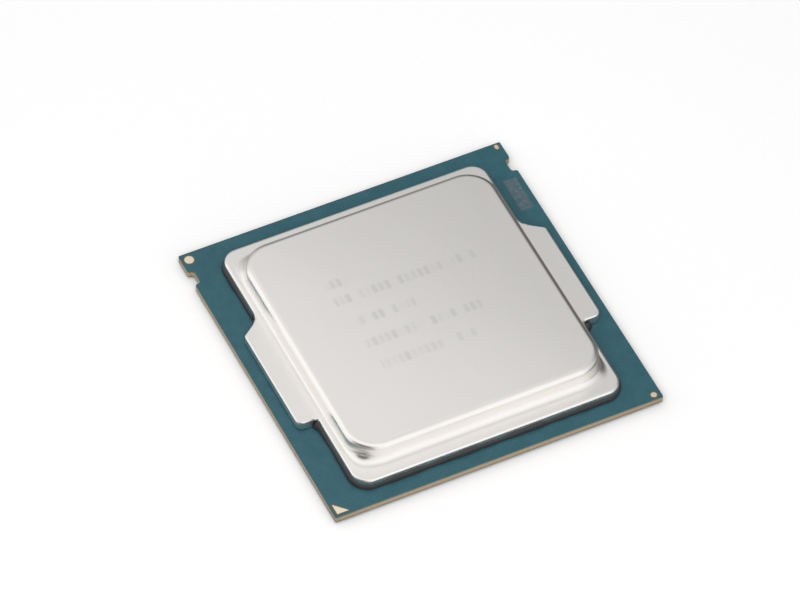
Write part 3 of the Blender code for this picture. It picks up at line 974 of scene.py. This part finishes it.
def build_bead(looks):
    """Silicone squeezed out a little unevenly between the rim and the board, taken up the rim's
    wall and heaped at the ears' front roots partly as painted shade.
    """
    builder = bmesh.new()
    rings = []
    path, directions = bead_path()
    travelled = 0.0
    for index, (point, outward) in enumerate(zip(path, directions)):
        travelled += (point - path[max(index - 1, 0)]).length
        wave = wave_at(travelled)
        # More black silicone at an ear's front root, partly painted shade.
        root_shade_reach, root_shade_climb = swell_and_shade_by_ear(point)
        # The climb up the rim's wall is partly painted shade: black silicone where the wall is
        # dark.
        climb = BEAD_SHADE_CLIMB * (1 + BEAD_CLIMB_WOBBLE * wave) + root_shade_climb
        reach = BEAD_REACH + BEAD_WOBBLE * wave + root_shade_reach
        section = bead_section(reach, 0.0 if is_under_ear(point) else climb)
        rings.append([
            builder.verts.new((
                (point.x + outward.x * distance) * MM,
                (point.y + outward.y * distance) * MM,
                (BOARD_TOP + rise) * MM,
            ))
            for distance, rise in section
        ])
    bridge_all(builder, rings)
    builder.faces.new(rings[0])
    builder.faces.new(list(reversed(rings[-1])))
    finish_piece("rim_sealant_and_shade", builder, looks["sealant"], ["lid_sealant_bead"])


def middle_and_half(node):
    bottom, top = low(node), high(node)
    return (bottom + top) / 2, (top - bottom) / 2


def mark_outlines():
    """(piece name, CAD node, corners) of each gold mark on the board's top."""
    corner, opposite = low("pin_one_triangle"), high("pin_one_triangle")
    marks = [("pin_one_mark", "pin_one_triangle", [
        (corner.x, corner.y, TRIANGLE_SQUARE_CORNER_RADIUS),
        (opposite.x, corner.y, TRIANGLE_TIP_RADIUS),
        (corner.x, opposite.y, TRIANGLE_TIP_RADIUS),
    ])]
    for place in ("back_left", "back_right", "front_right"):
        node = "fiducial_" + place
        middle, half = middle_and_half(node)
        radius = min(half.x, half.y) * PAD_ROUNDNESS
        marks.append(("corner_pad_" + place, node, rectangle(half.x, half.y, radius, middle)))
    return marks


def build_marks(looks):
    """Gold marks, each in an opening in the mask that leaves a dark ring of bare resin."""
    openings = bmesh.new()
    opening_profile = [(0.0, BOARD_TOP), (0.0, BOARD_TOP + CLEARANCE_HEIGHT)]
    for name, node, corners in mark_outlines():
        top = high(node).z
        profile = [
            (0.0, BOARD_TOP + CLEARANCE_HEIGHT + GAP / 10),
            *upper_rounding(MARK_EDGE_RADIUS, top, steps=3),
            (MARK_EDGE_RADIUS + SUPPORT, top),
        ]
        builder = bmesh.new()
        add_solid(builder, corners, profile, MARK_CORNER_STEPS)
        finish_piece(name, builder, looks["gold"], [node])
        around = inset_corners(corners, -CLEARANCE_MARGIN)
        add_solid(openings, around, opening_profile, MARK_CORNER_STEPS)
    finish_piece("mask_openings", openings, looks["bare_resin"])


def build_unit_mark(looks):
    """The pale patch of laser-burnt dots on the right border."""
    middle, half = middle_and_half("unit_mark_patch")
    top = high("unit_mark_patch").z
    builder = bmesh.new()
    profile = [(0.0, BOARD_TOP), (0.0, top - GAP), (GAP, top)]
    add_solid(builder, rectangle(half.x, half.y, UNIT_MARK_RADIUS, middle), profile)
    finish_piece("dot_code", builder, looks["laser_mark"], ["unit_mark_patch"])


def land_field_of(column, row):
    """Which of the four fields a land is in, or None where there is no land."""
    centre = (LANDS_PER_SIDE - 1) / 2
    from_middle_x, from_middle_y = column - centre, row - centre
    in_window_x = abs(from_middle_x) < WINDOW_LANDS_X / 2
    in_window_y = abs(from_middle_y) < WINDOW_LANDS_Y / 2
    corner_distance = (centre - abs(from_middle_x)) + (centre - abs(from_middle_y))
    if corner_distance < LAND_CORNER_SKIP or (in_window_x and in_window_y):
        return None
    notch_y = BOARD_HALF - NOTCH_FROM_BACK
    reach_x = BOARD_HALF - NOTCH_DEPTH - LAND_NOTCH_MARGIN
    outermost = abs(from_middle_x) * LAND_PITCH + LAND_HALF_X
    beside_notch = abs(from_middle_y * LAND_PITCH - notch_y) < NOTCH_WIDTH
    if beside_notch and outermost > reach_x:
        return None
    if in_window_y:
        return "left" if from_middle_x < 0 else "right"
    return "front" if from_middle_y < 0 else "back"


def build_lands(looks):
    """Gold lands in a square grid round the capacitors, grouped into four fields."""
    builders = {field: bmesh.new() for field in ("front", "back", "left", "right")}
    face_z = low("land_field_front").z - GAP
    profile = [
        (LAND_EDGE_RADIUS, face_z),
        (0.0, face_z + LAND_EDGE_RADIUS),
        (0.0, BOARD_BOTTOM - GAP / 10),
    ]
    centre = (LANDS_PER_SIDE - 1) / 2
    for column in range(LANDS_PER_SIDE):
        for row in range(LANDS_PER_SIDE):
            field = land_field_of(column, row)
            if field is None:
                continue
            middle = ((column - centre) * LAND_PITCH, (row - centre) * LAND_PITCH)
            corners = rectangle(LAND_HALF_X, LAND_HALF_Y, LAND_RADIUS, middle)
            add_solid(builders[field], corners, profile, LAND_CORNER_STEPS)
    for field, builder in builders.items():
        finish_piece("lands_" + field, builder, looks["gold"], ["land_field_" + field])


def build_capacitor_block(node, looks):
    """The ceramic, a little smaller than the tinned ends round it."""
    middle, half = middle_and_half(node)
    bottom, top = low(node).z + TERMINAL_PROUD, BOARD_BOTTOM - 2 * TERMINAL_PROUD
    edge = CERAMIC_EDGE_RADIUS
    block = rectangle(half.x - TERMINAL_PROUD, half.y - TERMINAL_PROUD, edge, middle)
    builder = bmesh.new()
    add_solid(builder, block, soft_edged(bottom, top, edge, CAPACITOR_STEPS), CAPACITOR_STEPS)
    finish_piece("capacitor_block_" + node[-2:], builder, looks["ceramic"], [node])


def build_capacitor_ends(node, looks):
    """The two tinned ends, which flare out where they are soldered to the board."""
    middle, half = middle_and_half(node)
    bottom, edge = low(node).z, CERAMIC_EDGE_RADIUS
    profile = [
        (edge + SUPPORT, bottom),
        *lower_rounding(edge, bottom, CAPACITOR_STEPS),
        *[(-outwards, BOARD_BOTTOM - below) for outwards, below in SOLDER_FLARE],
    ]
    builder = bmesh.new()
    for side in (-1, 1):
        end_middle = (middle.x + side * (half.x - TERMINAL_LENGTH / 2), middle.y)
        end = rectangle(TERMINAL_LENGTH / 2, half.y, edge, end_middle)
        add_solid(builder, end, profile, CAPACITOR_STEPS)
    finish_piece("capacitor_ends_" + node[-2:], builder, looks["solder"])


def build_capacitors(looks):
    """The land-side capacitors, whose CAD nodes end in a number of two digits."""
    for node in sorted(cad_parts):
        if node.startswith("land_capacitor_"):
            build_capacitor_block(node, looks)
            build_capacitor_ends(node, looks)


def paint_kept_nodes(looks):
    """The CAD nodes that stay get the looks of their slots."""
    kept = {
        "copper_plane_bottom": "copper",
        "copper_plane_top": "copper",
        "thermal_interface": "thermal_paste",
        "silicon_die": "silicon",
        "die_solder_bumps": "solder",
        "die_underfill": "underfill",
    }
    for node, slot in kept.items():
        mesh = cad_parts[node].data
        mesh.materials.clear()
        mesh.materials.append(looks[slot])


# Studio -----------------------------------------------------------------------------


def build_floor():
    builder = bmesh.new()
    square = rounded_outline(rectangle(FLOOR_HALF, FLOOR_HALF))
    builder.faces.new(add_ring(builder, square, 0.0))
    floor = object_from("floor", builder, floor_look())


def remapped_dot(tree, direction, axis, from_low, from_high, to_low, to_high):
    """How far a direction agrees with an axis, mapped from one range to another."""
    dot = tree.nodes.new("ShaderNodeVectorMath")
    dot.operation = "DOT_PRODUCT"
    dot.inputs[1].default_value = axis
    tree.links.new(direction, dot.inputs[0])
    remap = tree.nodes.new("ShaderNodeMapRange")
    tree.links.new(dot.outputs["Value"], remap.inputs["Value"])
    limits = {"From Min": from_low, "From Max": from_high, "To Min": to_low, "To Max": to_high}
    for name, value in limits.items():
        remap.inputs[name].default_value = value
    return remap.outputs[0]


def give_way(tree, share, colour, grey):
    """A colour that gives way to a plain grey by a share of 0 to 1."""
    mix = tree.nodes.new("ShaderNodeMix")
    mix.data_type = "RGBA"
    mix.inputs[7].default_value = (grey, grey, grey, 1.0)
    tree.links.new(share, mix.inputs[0])
    tree.links.new(colour, mix.inputs[6])
    return mix.outputs[2]


def brightness_ramp(tree, direction, brightest):
    """A grey for each direction, by how far it points to the dim side."""
    ramp = tree.nodes.new("ShaderNodeValToRGB")
    stops = ramp.color_ramp.elements
    while len(stops) < len(BRIGHTNESS_TOWARDS_DIM_SIDE):
        stops.new(0.5)
    for stop, (dot, value) in zip(stops, BRIGHTNESS_TOWARDS_DIM_SIDE):
        stop.position = (dot + 1) / 2
        shade = value / brightest
        stop.color = (shade, shade, shade, 1.0)
    share = remapped_dot(tree, direction, DIM_SIDE, -1.0, 1.0, 0.0, 1.0)
    tree.links.new(share, ramp.inputs[0])
    return ramp.outputs["Color"]


def build_world():
    """A soft studio in reflections and as light, and a plain pale backdrop to the camera."""
    world = bpy.data.worlds.new("studio")
    bpy.context.scene.world = world
    world.use_nodes = True
    tree = world.node_tree
    background = tree.nodes["Background"]
    direction = tree.nodes.new("ShaderNodeTexCoord").outputs["Generated"]
    brightest = max(value for _, value in BRIGHTNESS_TOWARDS_DIM_SIDE)

    overhead = remapped_dot(
        tree, direction, Vector((0, 0, 1)), OVERHEAD_FROM, OVERHEAD_TO, 1.0, OVERHEAD_SHARE)
    sky = tree.nodes.new("ShaderNodeVectorMath")
    sky.operation = "SCALE"
    tree.links.new(brightness_ramp(tree, direction, brightest), sky.inputs[0])
    tree.links.new(overhead, sky.inputs["Scale"])

    in_dark_thing = remapped_dot(
        tree, direction, DARK_THING_TOWARDS,
        math.cos(DARK_THING_FROM), math.cos(DARK_THING_TO), 0.0, 1.0)
    studio = give_way(tree, in_dark_thing, sky.outputs[0], DARK_THING_BRIGHTNESS / brightest)

    to_camera = tree.nodes.new("ShaderNodeLightPath").outputs["Is Camera Ray"]
    seen = give_way(tree, to_camera, studio, BACKDROP_BRIGHTNESS / brightest)
    tree.links.new(seen, background.inputs["Color"])
    background.inputs["Strength"].default_value = brightest


def add_area_light(name, place, rotation, size_x, size_y, power):
    data = bpy.data.lights.new(name, "AREA")
    data.shape = "RECTANGLE"
    data.size = size_x * MM
    data.size_y = size_y * MM
    data.energy = power
    light = bpy.data.objects.new(name, data)
    bpy.context.scene.collection.objects.link(light)
    light.location = place * MM
    light.rotation_euler = rotation
    light.visible_camera = False
    return light


def build_lights():
    turn = math.atan2(PANEL_SIDE.y, PANEL_SIDE.x)
    area = PANEL_DEPTH * PANEL_WIDTH * MM * MM
    add_area_light("soft_panel", PANEL_PLACE, (0, 0, turn),
                   PANEL_DEPTH, PANEL_WIDTH, PANEL_BRIGHTNESS * math.pi * area)
    aim = LAMP_PLACE.to_track_quat("Z", "Y").to_euler()
    lamp = add_area_light("soft_lamp", LAMP_PLACE, aim, LAMP_SIZE, LAMP_SIZE, LAMP_POWER)
    lamp.visible_glossy = False


def build_camera():
    data = bpy.data.cameras.new("camera")
    data.lens = CAMERA_LENS
    data.sensor_width = CAMERA_SENSOR
    data.clip_start = 0.01
    data.clip_end = 10.0
    camera = bpy.data.objects.new("camera", data)
    bpy.context.scene.collection.objects.link(camera)
    camera.location = (CAMERA_TARGET + TOWARDS_CAMERA * CAMERA_DISTANCE) * MM
    level = (-TOWARDS_CAMERA).to_track_quat("-Z", "Y")
    camera.rotation_mode = "QUATERNION"
    camera.rotation_quaternion = level @ Quaternion((0, 0, 1), CAMERA_ROLL)
    bpy.context.scene.camera = camera


def main():
    looks = make_looks()
    build_lid(looks)
    build_board(looks)
    build_bead(looks)
    build_marks(looks)
    build_unit_mark(looks)
    build_lands(looks)
    build_capacitors(looks)
    paint_kept_nodes(looks)
    build_floor()
    build_world()
    build_lights()
    build_camera()
    bpy.context.scene.view_settings.view_transform = "Standard"


main()
